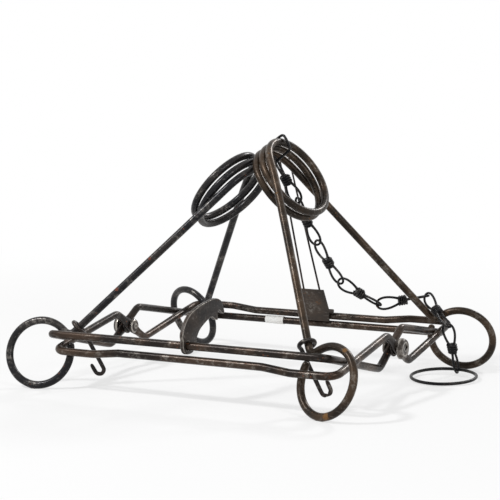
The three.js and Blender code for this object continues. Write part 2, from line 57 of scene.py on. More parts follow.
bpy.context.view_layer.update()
MM = 0.001
LOG = logging.getLogger("animal_trap")

# The CAD model stands this far from the chosen points, with its footprint's middle over the origin.
SHIFT = Vector((-0.553, -0.118, 0.0)) * MM

# Faces that meet at more than this angle keep a sharp edge between them.
SHARP_ANGLE = math.radians(40)


class Finish(Enum):
    """The finishes on the trap, each named as its material slot."""

    JAW = "jaw_steel"
    RIVET = "rivet_steel"
    LEFT_SPRING = "left_spring_steel"
    RIGHT_SPRING = "right_spring_steel"
    DOG = "dog_steel"
    BRACKET = "bracket_steel"
    FEELER = "feeler_wire"
    HOOK = "hook_steel"
    CHAIN = "chain_steel"
    TAPE = "white_tape"


@dataclass(frozen=True)
class OldSteel:
    """Colours, wear and any painted ringed highlight of one steel finish."""

    dark: Triple
    brown: Triple
    rust: Triple
    # Bright colour for rubbed and scratched wear; on finishes with rings it also paints a ringed highlight.
    wear_and_highlight: Triple = (0.42, 0.39, 0.35)
    rust_amount: float = 0.3
    wear_amount: float = 0.3
    roughness: float = 0.24
    metallic: float = 0.42
    specular: float = 0.22
    cloud_scale: float = 28.0
    bump: float = 0.30
    # Strength of a painted ringed highlight about the pivots' axis.
    rings: float = 0.0
    spots_mm: tuple[tuple[float, float, float, float], ...] = ()


STEELS: dict[Finish, OldSteel] = {
    Finish.JAW: OldSteel(
        (0.015, 0.011, 0.009), (0.052, 0.033, 0.022), (0.15, 0.055, 0.024), rust_amount=0.24, wear_amount=0.30),
    # The rivets' rings paint a ringed highlight into their colour.
    Finish.RIVET: OldSteel(
        (0.030, 0.026, 0.024), (0.075, 0.060, 0.050), (0.13, 0.06, 0.03), rust_amount=0.14, wear_amount=0.45,
        metallic=0.70, specular=0.5, rings=0.85),
    Finish.LEFT_SPRING: OldSteel(
        (0.012, 0.012, 0.014), (0.028, 0.025, 0.024), (0.13, 0.035, 0.018), rust_amount=0.12, wear_amount=0.28,
        roughness=0.22, spots_mm=((-92.0, -91.3, 89.0, 2.6), (-66.1, -76.5, 116.4, 2.2))),
    Finish.RIGHT_SPRING: OldSteel(
        (0.018, 0.013, 0.009), (0.055, 0.035, 0.021), (0.17, 0.085, 0.028), rust_amount=0.24, wear_amount=0.24,
        roughness=0.27, spots_mm=((139.6, -140.2, 5.5, 4.4), (148.9, -124.5, 58.5, 3.2))),
    Finish.DOG: OldSteel(
        (0.022, 0.019, 0.018), (0.048, 0.036, 0.029), (0.13, 0.05, 0.024), rust_amount=0.16, wear_amount=0.34,
        roughness=0.36),
    Finish.BRACKET: OldSteel(
        (0.036, 0.031, 0.028), (0.060, 0.046, 0.037), (0.14, 0.07, 0.035), rust_amount=0.20, wear_amount=0.26,
        roughness=0.46),
    Finish.FEELER: OldSteel(
        (0.018, 0.015, 0.014), (0.045, 0.032, 0.026), (0.13, 0.05, 0.026), rust_amount=0.22, wear_amount=0.24),
    Finish.HOOK: OldSteel(
        (0.014, 0.012, 0.012), (0.036, 0.027, 0.023), (0.13, 0.05, 0.024), rust_amount=0.18, wear_amount=0.30),
    Finish.CHAIN: OldSteel(
        (0.008, 0.008, 0.009), (0.020, 0.018, 0.018), (0.09, 0.04, 0.02), rust_amount=0.12, wear_amount=0.22,
        roughness=0.28, cloud_scale=60.0),
}

# Brighter steel for the dog's bevelled edges: partly real edge wear, partly a painted highlight.
EDGE_WEAR_AND_HIGHLIGHT = OldSteel(
    (0.16, 0.145, 0.13), (0.24, 0.215, 0.19), (0.12, 0.06, 0.03), rust_amount=0.10, wear_amount=0.9,
    metallic=0.8, specular=0.5)


@dataclass(frozen=True)
class ClothTape:
    """Colours, soil and weave of the white cloth tape."""

    white: Triple = (0.86, 0.86, 0.84)
    soil: Triple = (0.62, 0.58, 0.52)
    soil_share: float = 0.35
    soil_scale: float = 120.0
    roughness: float = 0.85
    sheen: float = 0.15
    weave_scale: float = 900.0
    weave_wander: float = 0.6
    weave_bump: float = 0.4
    weave_depth: float = 0.12 * MM


@dataclass(frozen=True)
class PaintedRingHighlight:
    """A painted ringed highlight: bright colour rings about the pivots' axis."""

    axis_height: float = 39.5 * MM
    scale: float = 80.0
    wander: float = 0.4
    step: Pair = (0.72, 0.95)


@dataclass(frozen=True)
class Grain:
    """Scale, detail and roughness of one noise, and the step that makes a mask of it."""

    scale: float
    detail: float = 4.0
    rough: float = 0.6
    step: Pair = (0.0, 1.0)


def put_in_scene(name: str, data: bpy.types.ID) -> bpy.types.Object:
    """Makes an object of a mesh, curve, lamp or camera.

    Args:
        name: The object's name.
        data: What it shows.

    Returns:
        The object, linked to the scene.
    """
    made = bpy.data.objects.new(name, data)
    bpy.context.scene.collection.objects.link(made)
    return made


def fresh_mesh(source: bpy.types.Object) -> bpy.types.Mesh:
    """Takes what an object shows, with its modifiers, as one mesh.

    Args:
        source: A mesh or curve object.

    Returns:
        A new mesh.
    """
    graph = bpy.context.evaluated_depsgraph_get()
    graph.update()
    return bpy.data.meshes.new_from_object(source.evaluated_get(graph))


def plain_mesh(piece: bpy.types.Object) -> None:
    """Turns a piece and its modifiers into one plain mesh.

    Args:
        piece: The piece, which keeps its name and loses its modifiers.
    """
    done = fresh_mesh(piece)
    piece.modifiers.clear()
    piece.data = done


def circle(radius: float, sides: int) -> list[Pair]:
    """Gives the corners of a round outline.

    Args:
        radius: Its radius in metres.
        sides: The number of corners.

    Returns:
        The corners, in order.
    """
    turn = [2 * math.pi * k / sides for k in range(sides)]
    return [(radius * math.cos(a), radius * math.sin(a)) for a in turn]


def rounded_outline(points: tuple[Pair, ...], passes: int, cut: Pair = (0.78, 0.22)) -> list[Pair]:
    """Rounds a closed outline by cutting its corners.

    Args:
        points: The outline's corners.
        passes: How often its corners are cut.
        cut: Where each side is cut, as shares of its first corner.

    Returns:
        The rounded outline.
    """
    line = list(points)
    for _ in range(passes):
        line = [
            (a[0] * near + b[0] * (1 - near), a[1] * near + b[1] * (1 - near))
            for a, b in zip(line, line[1:] + line[:1])
            for near in cut
        ]
    return line


def new_group(name: str, inputs: dict[str, float], outputs: tuple[str, ...]) -> Tree:
    """Makes an empty shader group with number sockets.

    Args:
        name: The group's name.
        inputs: Each number input with its default.
        outputs: The names of the number outputs.

    Returns:
        The new group, with its input and output nodes in place.
    """
    group = bpy.data.node_groups.new(name, "ShaderNodeTree")
    group.interface.new_socket("Place", in_out="INPUT", socket_type="NodeSocketVector")
    for key, value in inputs.items():
        socket = group.interface.new_socket(key, in_out="INPUT", socket_type="NodeSocketFloat")
        socket.default_value = value
    for key in outputs:
        group.interface.new_socket(key, in_out="OUTPUT", socket_type="NodeSocketFloat")
    group.nodes.new("NodeGroupInput").name = "in"
    group.nodes.new("NodeGroupOutput").name = "out"
    return group


def object_place(tree: Tree) -> Socket:
    """Adds object coordinates to a material and returns their socket."""
    return tree.nodes.new("ShaderNodeTexCoord").outputs["Object"]


def noise(tree: Tree, place: Socket, look: Grain) -> bpy.types.Node:
    """Adds a noise texture.

    Args:
        tree: The tree that gets it.
        place: The coordinates that it is read at.
        look: Its scale, detail and roughness.

    Returns:
        The noise's node.
    """
    node = tree.nodes.new("ShaderNodeTexNoise")
    node.inputs["Scale"].default_value = look.scale
    node.inputs["Detail"].default_value = look.detail
    node.inputs["Roughness"].default_value = look.rough
    tree.links.new(place, node.inputs["Vector"])
    return node


def cells(tree: Tree, place: Socket, scale: float) -> Socket:
    """Adds a pattern of cells.

    Args:
        tree: The tree that gets it.
        place: The coordinates that it is read at.
        scale: How many cells there are to a metre.

    Returns:
        The distance from the nearest cell's middle.
    """
    node = tree.nodes.new("ShaderNodeTexVoronoi")
    node.inputs["Scale"].default_value = scale
    tree.links.new(place, node.inputs["Vector"])
    return node.outputs["Distance"]


def wave(tree: Tree, place: Socket, scale: float, wander: float) -> bpy.types.Node:
    """Adds a pattern of waves.

    Args:
        tree: The tree that gets it.
        place: The coordinates that it is read at.
        scale: How fine the waves are.
        wander: How far they stray from their lines.

    Returns:
        The wave's node.
    """
    node = tree.nodes.new("ShaderNodeTexWave")
    node.inputs["Scale"].default_value = scale
    node.inputs["Distortion"].default_value = wander
    tree.links.new(place, node.inputs["Vector"])
    return node


def ramp(tree: Tree, value: Socket, step: Pair) -> Socket:
    """Adds a smooth step from 0 to 1.

    Args:
        tree: The tree that gets it.
        value: The number that it reads.
        step: The numbers at which it gives 0 and 1.

    Returns:
        The stepped value.
    """
    node = tree.nodes.new("ShaderNodeMapRange")
    node.interpolation_type = "SMOOTHSTEP"
    node.inputs["From Min"].default_value, node.inputs["From Max"].default_value = step
    tree.links.new(value, node.inputs["Value"])
    return node.outputs[0]


def patches(tree: Tree, place: Socket, look: Grain) -> Socket:
    """Adds a noise that is stepped into a mask.

    Args:
        tree: The tree that gets it.
        place: The coordinates that it is read at.
        look: The noise and its step.

    Returns:
        The mask.
    """
    return ramp(tree, noise(tree, place, look).outputs["Fac"], look.step)


def calc(tree: Tree, how: str, first: Socket | float, second: Socket | float) -> Socket:
    """Adds one step of arithmetic.

    Args:
        tree: The tree that gets it.
        how: The Math node's operation.
        first: Its first value.
        second: Its second value.

    Returns:
        The result.
    """
    node = tree.nodes.new("ShaderNodeMath")
    node.operation = how
    for socket, value in zip(node.inputs, (first, second)):
        if isinstance(value, (int, float)):
            socket.default_value = value
        else:
            tree.links.new(value, socket)
    return node.outputs[0]


def blend_colour(tree: Tree, mask: Socket, under: Socket | Triple, over: Triple) -> Socket:
    """Lays one colour over another.

    Args:
        tree: The tree that gets the mix.
        mask: How much of the upper colour shows, from 0 to 1.
        under: The lower colour.
        over: The upper colour.

    Returns:
        The mixed colour.
    """
    node = tree.nodes.new("ShaderNodeMix")
    node.data_type = "RGBA"
    tree.links.new(mask, node.inputs["Factor"])
    if isinstance(under, tuple):
        node.inputs["A"].default_value = (*under, 1.0)
    else:
        tree.links.new(under, node.inputs["A"])
    node.inputs["B"].default_value = (*over, 1.0)
    return node.outputs["Result"]


def raise_surface(tree: Tree, shader: bpy.types.Node, height: Socket, strength: float, depth: float) -> None:
    """Gives a shader's surface its relief.

    Args:
        tree: The material's tree.
        shader: The material's shader.
        height: The relief's height, from 0 to 1.
        strength: How strongly it shows.
        depth: Its depth in metres.
    """
    bump = tree.nodes.new("ShaderNodeBump")
    bump.inputs["Strength"].default_value = strength
    bump.inputs["Distance"].default_value = depth
    tree.links.new(height, bump.inputs["Height"])
    tree.links.new(bump.outputs["Normal"], shader.inputs["Normal"])


def fresh_material(name: str) -> tuple[bpy.types.Material, Tree, bpy.types.Node]:
    """Makes a node material.

    Args:
        name: The material's name.

    Returns:
        The material, its tree and its shader.
    """
    material = bpy.data.materials.new(name)
    material.use_nodes = True
    return material, material.node_tree, material.node_tree.nodes["Principled BSDF"]


@dataclass
class SurfaceWear:
    """Shader groups shared by all the finishes, with the patterns that they hold."""

    clouds: Grain = Grain(OldSteel.cloud_scale, step=(0.40, 0.62))
    grain: Grain = Grain(950.0, 3.0, 0.7)
    scratches: Grain = Grain(620.0, 2.0, 0.5, (0.60, 0.70))
    drawn_out: Triple = (0.25, 1.0, 1.0)
    rubbed_areas: Grain = Grain(55.0, 3.0, step=(0.50, 0.66))
    rubbed_specks: Grain = Grain(260.0, 4.0, 0.7, (0.46, 0.60))
    blotches: Grain = Grain(38.0, 6.0, 0.68)
    blotch_edge: float = 0.76
    blotch_reach: float = 0.45
    blotch_fade: float = 0.10
    speckle_scale: float = 240.0
    speckle_step: Pair = (0.24, 0.10)
    speckle_areas: Grain = Grain(70.0, step=(0.54, 0.62))
    pit_scale: float = 700.0

    def __post_init__(self) -> None:
        """Builds the patina and rust groups once."""
        self.patina = self.build_patina()
        self.rust = self.build_rust()

    def build_patina(self) -> Tree:
        """Builds clouds, fine grain, drawn scratches and rubbed spots.

        Returns:
            The group, with outputs Cloud, Grain, Scratch and Rubbed.
        """
        group = new_group("patina", {"Cloud Scale": self.clouds.scale}, ("Cloud", "Grain", "Scratch", "Rubbed"))
        start, end = group.nodes["in"], group.nodes["out"]
        place = start.outputs["Place"]
        cloud = noise(group, place, self.clouds)
        group.links.new(start.outputs["Cloud Scale"], cloud.inputs["Scale"])
        group.links.new(ramp(group, cloud.outputs["Fac"], self.clouds.step), end.inputs["Cloud"])
        group.links.new(noise(group, place, self.grain).outputs["Fac"], end.inputs["Grain"])
        drawn = group.nodes.new("ShaderNodeMapping")
        drawn.inputs["Scale"].default_value = self.drawn_out
        group.links.new(place, drawn.inputs["Vector"])
        group.links.new(patches(group, drawn.outputs[0], self.scratches), end.inputs["Scratch"])
        broad = patches(group, place, self.rubbed_areas)
        fine = patches(group, place, self.rubbed_specks)
        group.links.new(calc(group, "MULTIPLY", broad, fine), end.inputs["Rubbed"])
        return group

    def build_rust(self) -> Tree:
        """Builds blotches of rust with a speckle of small pits.

        Returns:
            The group, with outputs Blotch, Speckle and Pits.
        """
        group = new_group("rust", {"Amount": OldSteel.rust_amount}, ("Blotch", "Speckle", "Pits"))
        start, end = group.nodes["in"], group.nodes["out"]
        place = start.outputs["Place"]
        large = noise(group, place, self.blotches).outputs["Fac"]
        spread = calc(group, "MULTIPLY", start.outputs["Amount"], self.blotch_reach)
        over = calc(group, "SUBTRACT", large, calc(group, "SUBTRACT", self.blotch_edge, spread))
        group.links.new(ramp(group, over, (0.0, self.blotch_fade)), end.inputs["Blotch"])
        dots = ramp(group, cells(group, place, self.speckle_scale), self.speckle_step)
        areas = patches(group, place, self.speckle_areas)
        group.links.new(calc(group, "MULTIPLY", dots, areas), end.inputs["Speckle"])
        group.links.new(cells(group, place, self.pit_scale), end.inputs["Pits"])
        return group

    def place(self, tree: Tree, group: Tree, values: dict[str, float]) -> bpy.types.NodeOutputs:
        """Puts a group into a material, read in object coordinates.

        Args:
            tree: The material's tree.
            group: The shared group.
            values: Numbers for the group's inputs.

        Returns:
            The group's outputs.
        """
        node = tree.nodes.new("ShaderNodeGroup")
        node.node_tree = group
        tree.links.new(object_place(tree), node.inputs["Place"])
        for key, value in values.items():
            node.inputs[key].default_value = value
        return node.outputs


@dataclass
class Finishes:
    """Builds each finish once and hands it out, with the shares in which wear and rust act."""

    scratch_share: float = 0.45
    rust_roughness: float = 0.36
    grain_roughness: float = 0.12
    rubbed_polish: float = 0.10
    rust_dulling: float = 0.70
    grain_height: float = 0.5
    pit_height: float = 0.25
    rust_height: float = 0.8
    relief: float = 0.25 * MM
    spot_edge: Pair = (1.4, 0.9)

    def __post_init__(self) -> None:
        """Makes the shared groups and every finish."""
        self.wear = SurfaceWear()
        self.made: dict[Finish, bpy.types.Material] = {
            finish: self.steel(finish.value, look) for finish, look in STEELS.items()
        }
        # Brighter edge steel for the dog: partly wear, partly a painted highlight.
        self.edge_wear_and_highlight = self.steel("dog_edge_wear_and_highlight", EDGE_WEAR_AND_HIGHLIGHT)
        self.made[Finish.TAPE] = self.tape(ClothTape())

    def steel(self, name: str, look: OldSteel) -> bpy.types.Material:
        """Builds old oiled steel with brown clouds, rust and rubbed spots, and a painted ringed highlight where
        the finish has rings.

        Args:
            name: The material's name.
            look: Its colours and amounts.

        Returns:
            The material.
        """
        material, tree, shader = fresh_material(name)
        shader.inputs["Specular IOR Level"].default_value = look.specular
        patina = self.wear.place(tree, self.wear.patina, {"Cloud Scale": look.cloud_scale})
        rust = self.wear.place(tree, self.wear.rust, {"Amount": look.rust_amount})
        bright = self.bright_mask(tree, look, patina)
        rusted = calc(tree, "MAXIMUM", rust["Blotch"], rust["Speckle"])
        for spot in look.spots_mm:
            rusted = calc(tree, "MAXIMUM", rusted, self.spot(tree, spot, patina["Grain"]))
        colour = blend_colour(tree, patina["Cloud"], look.dark, look.brown)
        # Bright wear, plus the painted ringed highlight on finishes with rings.
        colour = blend_colour(tree, bright, colour, look.wear_and_highlight)
        colour = blend_colour(tree, rusted, colour, look.rust)
        tree.links.new(colour, shader.inputs["Base Color"])
        rough = calc(tree, "ADD", look.roughness, calc(tree, "MULTIPLY", rusted, self.rust_roughness))
        rough = calc(tree, "ADD", rough, calc(tree, "MULTIPLY", patina["Grain"], self.grain_roughness))
        rough = calc(tree, "SUBTRACT", rough, calc(tree, "MULTIPLY", bright, self.rubbed_polish))
        tree.links.new(rough, shader.inputs["Roughness"])
        metal = calc(tree, "SUBTRACT", look.metallic, calc(tree, "MULTIPLY", rusted, self.rust_dulling))
        tree.links.new(metal, shader.inputs["Metallic"])
        height = calc(tree, "ADD", calc(tree, "MULTIPLY", patina["Grain"], self.grain_height),
                      calc(tree, "MULTIPLY", rust["Pits"], self.pit_height))
        height = calc(tree, "ADD", height, calc(tree, "MULTIPLY", rusted, self.rust_height))
        raise_surface(tree, shader, height, look.bump, self.relief)
        return material

    def bright_mask(self, tree: Tree, look: OldSteel, patina: bpy.types.NodeOutputs) -> Socket:
        """Builds the places that are rubbed or scratched bright, with a painted ringed highlight added on
        finishes with rings.

        Args:
            tree: The material's tree.
            look: The finish's amounts.
            patina: The outputs of the patina group.

        Returns:
            The mask.
        """
        rubbed = calc(tree, "MULTIPLY", patina["Rubbed"], look.wear_amount)
        lined = calc(tree, "MULTIPLY", patina["Scratch"], look.wear_amount * self.scratch_share)
        bright = calc(tree, "MAXIMUM", rubbed, lined)
        # Painted ringed highlight about the pivots' axis.
        if look.rings:
            bright = calc(tree, "MAXIMUM", bright, self.paint_ring_highlight(tree, look.rings, PaintedRingHighlight()))
        return bright

    def spot(self, tree: Tree, spot: tuple[float, float, float, float], grain: Socket) -> Socket:
        """Builds one ragged spot of rust.

        Args:
            tree: The material's tree.
            spot: Its middle and its radius, in millimetres.
            grain: A fine grain that frays its edge.

        Returns:
            The spot's mask.
        """
        radius = spot[3]
        reach = tree.nodes.new("ShaderNodeVectorMath")
        reach.operation = "DISTANCE"
        reach.inputs[1].default_value = [value * MM for value in spot[:3]]
        tree.links.new(object_place(tree), reach.inputs[0])
        frayed = calc(tree, "ADD", reach.outputs["Value"], calc(tree, "MULTIPLY", grain, radius * MM))
        outer, inner = self.spot_edge
        return ramp(tree, frayed, (radius * outer * MM, radius * inner * MM))

    def paint_ring_highlight(self, tree: Tree, amount: float, look: PaintedRingHighlight) -> Socket:
        """Builds a painted ringed highlight: bright rings about the pivots' axis.

        Args:
            tree: The material's tree.
            amount: How bright the rings are.
            look: Their axis and their fineness.

        Returns:
            The rings' mask.
        """
        centre = tree.nodes.new("ShaderNodeMapping")
        centre.inputs["Location"].default_value = (0.0, -SHIFT.y, -look.axis_height)
        tree.links.new(object_place(tree), centre.inputs["Vector"])
        rings = wave(tree, centre.outputs[0], look.scale, look.wander)
        rings.wave_type = "RINGS"
        rings.rings_direction = "X"
        return calc(tree, "MULTIPLY", ramp(tree, rings.outputs["Fac"], look.step), amount)

    def tape(self, look: ClothTape) -> bpy.types.Material:
        """Builds white cloth tape, a little soiled.

        Args:
            look: Its colours, soil and weave.

        Returns:
            The material.
        """
        material, tree, shader = fresh_material(Finish.TAPE.value)
        patina = self.wear.place(tree, self.wear.patina, {"Cloud Scale": look.soil_scale})
        soiled = calc(tree, "MULTIPLY", patina["Cloud"], look.soil_share)
        tree.links.new(blend_colour(tree, soiled, look.white, look.soil), shader.inputs["Base Color"])
        shader.inputs["Roughness"].default_value = look.roughness
        shader.inputs["Sheen Weight"].default_value = look.sheen
        weave = wave(tree, object_place(tree), look.weave_scale, look.weave_wander)
        raise_surface(tree, shader, weave.outputs["Fac"], look.weave_bump, look.weave_depth)
        return material


class Edge(Enum):
    """How a copied solid is refined."""

    ROUND_ROD = "round rod"
    CUT_PLATE = "cut plate"
    TURNED = "turned"


@dataclass(frozen=True)
class Refining:
    """Sizes in metres, angles and levels for one way of refining a copied solid."""

    edge: Edge
    swell: float = 0.0
    bevel: float = 0.0
    bevel_segments: int = 2
    bevel_angle: float = math.radians(28)
    levels: int = 2


ROD = Refining(Edge.ROUND_ROD, swell=0.25 * MM)
SPRING_ROD = Refining(Edge.ROUND_ROD, swell=0.55 * MM)
HOOK_WIRE = Refining(Edge.ROUND_ROD, swell=0.31 * MM)
THIN_WIRE = Refining(Edge.ROUND_ROD, swell=0.12 * MM)
RING_WIRE = Refining(Edge.ROUND_ROD, swell=0.13 * MM)
SHEET = Refining(Edge.CUT_PLATE, bevel=0.3 * MM)
HEAD = Refining(Edge.TURNED, swell=0.05 * MM, bevel=0.45 * MM)


@dataclass
class Dresser:
    """Copies a solid, refines the copy and lets it ride in the solid's place."""

    finishes: Finishes
    merge_reach: float = 0.004 * MM
    flat_angle: float = math.radians(1.5)
    join_angle: float = math.radians(50)
    join_shape: float = math.radians(60)

    def dress(self, node: str, body: str, finish: Finish, way: Refining) -> bpy.types.Object:
        """Makes the shown piece of one node.

        Args:
            node: The node's name.
            body: The body that it rides on.
            finish: Its finish.
            way: How its copy is refined.

        Returns:
            The shown piece.
        """
        mesh = frame["nodes"][node].data.copy()
        mesh.materials.clear()
        mesh.materials.append(self.finishes.made[finish])
        self.merge_and_swell(mesh, way)
        piece = put_in_scene(f"{node}_look", mesh)
        self.refine(piece, way)
        for vertex in piece.data.vertices:
            vertex.co.z = max(vertex.co.z, 0.0)
        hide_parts(node)
        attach(piece, body)
        LOG.info("%s: %d faces", piece.name, len(piece.data.polygons))
        return piece

    def merge_and_swell(self, mesh: bpy.types.Mesh, way: Refining) -> None:
        """Merges a copy's loose triangles and swells it to the full roundness of its wire.

        Args:
            mesh: The copied mesh.
            way: How it is refined.
        """
        shape = bmesh.new()
        shape.from_mesh(mesh)
        bmesh.ops.remove_doubles(shape, verts=shape.verts, dist=self.merge_reach)
        for face in shape.faces:
            face.material_index = 0
            face.smooth = True
        if way.edge is Edge.ROUND_ROD:
            bmesh.ops.join_triangles(shape, faces=shape.faces, angle_face_threshold=self.join_angle,
                                     angle_shape_threshold=self.join_shape)
        else:
            bmesh.ops.dissolve_limit(shape, angle_limit=self.flat_angle, verts=shape.verts, edges=shape.edges)
        shape.normal_update()
        for vertex in shape.verts:
            vertex.co += vertex.normal * way.swell
        shape.to_mesh(mesh)
        shape.free()

    def refine(self, piece: bpy.types.Object, way: Refining) -> None:
        """Rounds the copy's edges and smooths it.

        Args:
            piece: The copied solid.
            way: How it is refined.
        """
        if way.bevel:
            rounding = piece.modifiers.new("rounding", "BEVEL")
            rounding.width = way.bevel
            rounding.segments = way.bevel_segments
            rounding.limit_method = "ANGLE"
            rounding.angle_limit = way.bevel_angle
        if way.edge is not Edge.CUT_PLATE:
            smooth = piece.modifiers.new("smooth", "SUBSURF")
            smooth.levels = way.levels
            smooth.render_levels = way.levels
        plain_mesh(piece)
        if way.edge is Edge.CUT_PLATE:
            piece.data.set_sharp_from_angle(angle=SHARP_ANGLE)


@dataclass
class JawPair:
    """The two rod frames with the rivets that they turn on."""

    dresser: Dresser
    sides: tuple[str, str] = ("left", "right")

    def build(self) -> None:
        """Dresses both jaws, the rivets and the washers."""
        self.dresser.dress("lower_jaw", "lower_frame", Finish.JAW, ROD)
        self.dresser.dress("upper_jaw", "upper_frame", Finish.JAW, ROD)
        for side in self.sides:
            self.dresser.dress(f"{side}_pivot_rivet", "lower_frame", Finish.RIVET, HEAD)
            self.dresser.dress(f"{side}_pivot_washer", "lower_frame", Finish.RIVET, HEAD)


@dataclass
class SpringPair:
    """The two coiled springs and the safety hook on a leg of each."""

    dresser: Dresser

    def build(self) -> None:
        """Dresses the springs and the hooks."""
        self.dresser.dress("left_spring", "left_spring", Finish.LEFT_SPRING, SPRING_ROD)
        self.dresser.dress("right_spring", "right_spring", Finish.RIGHT_SPRING, SPRING_ROD)
        self.dresser.dress("left_safety_hook", "left_hook", Finish.HOOK, HOOK_WIRE)
        self.dresser.dress("right_safety_hook", "right_hook", Finish.HOOK, HOOK_WIRE)


@dataclass
class TriggerSet:
    """The latch dog, the folded bracket and its two feeler wires.

    The dog's outline is in the plane of its plate, from the axis that it turns on.
    """

    dresser: Dresser
    dog_outline_mm: tuple[Pair, ...] = (
        (5.8, 27.2), (22.0, 32.0), (37.9, 34.2), (50.8, 35.0), (60.0, 31.0), (62.6, 25.5), (64.8, 19.6),
        (60.8, 19.4), (54.5, 24.4), (51.6, 21.0), (53.4, 15.2), (49.0, 15.2), (43.0, 19.4), (37.5, 18.6),
        (30.0, 15.6), (20.5, 11.0), (15.0, 4.0), (12.6, -3.6), (8.0, -7.6), (-1.0, -7.6), (-5.8, -4.8),
        (-7.45, 0.2), (-7.1, 4.6), (-8.6, 10.2), (-5.4, 16.0), (-1.4, 21.6),
    )
    dog_rounding: int = 2
    dog_bore: float = 4.1 * MM
    dog_bore_sides: int = 40
    dog_edge: float = 0.5 * MM
    dog_edge_steps: int = 2
    dog_merge: float = 0.002 * MM
    # Normal slopes of the bevel faces that get the brighter edge steel, partly wear and partly painted
    # highlight.
    edge_wear_and_highlight_slope: Pair = (0.15, 0.97)
    wire_stretch: float = 1.045

    def build(self) -> None:
        """Dresses the dog, the bracket and the wires."""
        self.build_dog()
        self.dresser.dress("trigger_bracket", "trigger", Finish.BRACKET, SHEET)
        for side in ("left", "right"):
            wire = self.dresser.dress(f"trigger_wire_{side}", "trigger", Finish.FEELER, THIN_WIRE)
            foot = min((v.co.copy() for v in wire.data.vertices), key=lambda co: co.z)
            for vertex in wire.data.vertices:
                vertex.co = foot + (vertex.co - foot) * self.wire_stretch

    def build_dog(self) -> None:
        """Makes the dog's plate, with steel on its faces and a brighter edge that is partly wear and partly a
        painted highlight.
        """
        low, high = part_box("trigger_dog")
        pivot = Vector(next(j for j in frame["joints"] if j["name"] == "dog_hinge")["pos_m"])
        mesh = self.cut_plate(high.x - low.x)
        mesh.transform(Matrix((
            (0, 0, 1, (low.x + high.x) / 2),
            (1, 0, 0, pivot.y),
            (0, 1, 0, pivot.z),
            (0, 0, 0, 1),
        )))
        shape = bmesh.new()
        shape.from_mesh(mesh)
        bmesh.ops.remove_doubles(shape, verts=shape.verts, dist=self.dog_merge)
        bmesh.ops.recalc_face_normals(shape, faces=shape.faces)
        for face in shape.faces:
            face.smooth = True
        shape.to_mesh(mesh)
        shape.free()
        mesh.set_sharp_from_angle(angle=SHARP_ANGLE)
        mesh.materials.clear()
        mesh.materials.append(self.dresser.finishes.made[Finish.DOG])
        mesh.materials.append(self.dresser.finishes.edge_wear_and_highlight)
        # Bevel faces get the brighter edge steel: partly wear, partly a painted highlight.
        least, most = self.edge_wear_and_highlight_slope
        for face in mesh.polygons:
            face.material_index = int(least < abs(face.normal.x) < most)
        plate = put_in_scene("dog_plate", mesh)
        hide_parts("trigger_dog")
        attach(plate, "dog")
        LOG.info("%s: %d faces", plate.name, len(mesh.polygons))

    def cut_plate(self, thickness: float) -> bpy.types.Mesh:
        """Cuts a flat plate to the dog's curved outline, with the bore for the bar.

        Args:
            thickness: The plate's thickness in metres.

        Returns:
            The plate, lying flat, its bore at the origin.
        """
        flat = bpy.data.curves.new("dog_outline", "CURVE")
        flat.dimensions = "2D"
        flat.fill_mode = "BOTH"
        flat.extrude = thickness / 2 - self.dog_edge
        flat.bevel_depth = self.dog_edge
        flat.offset = -self.dog_edge
        flat.bevel_resolution = self.dog_edge_steps
        outline = [(y * MM, z * MM) for y, z in rounded_outline(self.dog_outline_mm, self.dog_rounding)]
        for loop in (outline, circle(self.dog_bore, self.dog_bore_sides)):
            line = flat.splines.new("POLY")
            line.points.add(len(loop) - 1)
            line.use_cyclic_u = True
            for point, (across, up) in zip(line.points, loop):
                point.co = (across, up, 0.0, 1.0)
        pattern = put_in_scene("dog_outline", flat)
        mesh = fresh_mesh(pattern)
        bpy.data.objects.remove(pattern)
        return mesh


@dataclass
class TapeWrap:
    """The white tape wound round one bar, turned from a stepped outline.

    The steps are shares of the band's length, and the layers are shares of its thickness there.
    """

    finishes: Finishes
    slack: float = 0.12 * MM
    thickness: float = 0.24 * MM
    sides: int = 40
    steps: tuple[float, ...] = (0.0, 0.04, 0.05, 0.36, 0.37, 0.70, 0.71, 0.96, 1.0)
    layers: tuple[float, ...] = (0.55, 0.78, 0.80, 0.82, 0.92, 0.94, 1.0, 1.0, 0.60)

    def build(self) -> None:
        """Makes the band between the CAD band's own ends and radii."""
        low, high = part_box("tape_band")
        middle = (low + high) / 2
        outer = (high.z - low.z) / 2 - self.slack
        inner = outer - self.thickness
        length = high.x - low.x
        outline = [(low.x + share * length, inner + (outer - inner) * layer)
                   for share, layer in zip(self.steps, self.layers)]
        outline += [(high.x, inner), (low.x, inner)]
        shape = bmesh.new()
        rings = [[shape.verts.new((x, middle.y + y, middle.z + z)) for y, z in circle(radius, self.sides)]
                 for x, radius in outline]
        for ring, following in zip(rings, rings[1:] + rings[:1]):
            for k in range(self.sides):
                n = (k + 1) % self.sides
                shape.faces.new((ring[k], ring[n], following[n], following[k])).smooth = True
        bmesh.ops.recalc_face_normals(shape, faces=shape.faces)
        mesh = bpy.data.meshes.new("tape_wrap")
        shape.to_mesh(mesh)
        shape.free()
        mesh.set_sharp_from_angle(angle=SHARP_ANGLE)
        mesh.materials.append(self.finishes.made[Finish.TAPE])
        piece = put_in_scene("tape_wrap", mesh)
        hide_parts("tape_band")
        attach(piece, "upper_frame")
        LOG.info("%s: %d faces", piece.name, len(mesh.polygons))


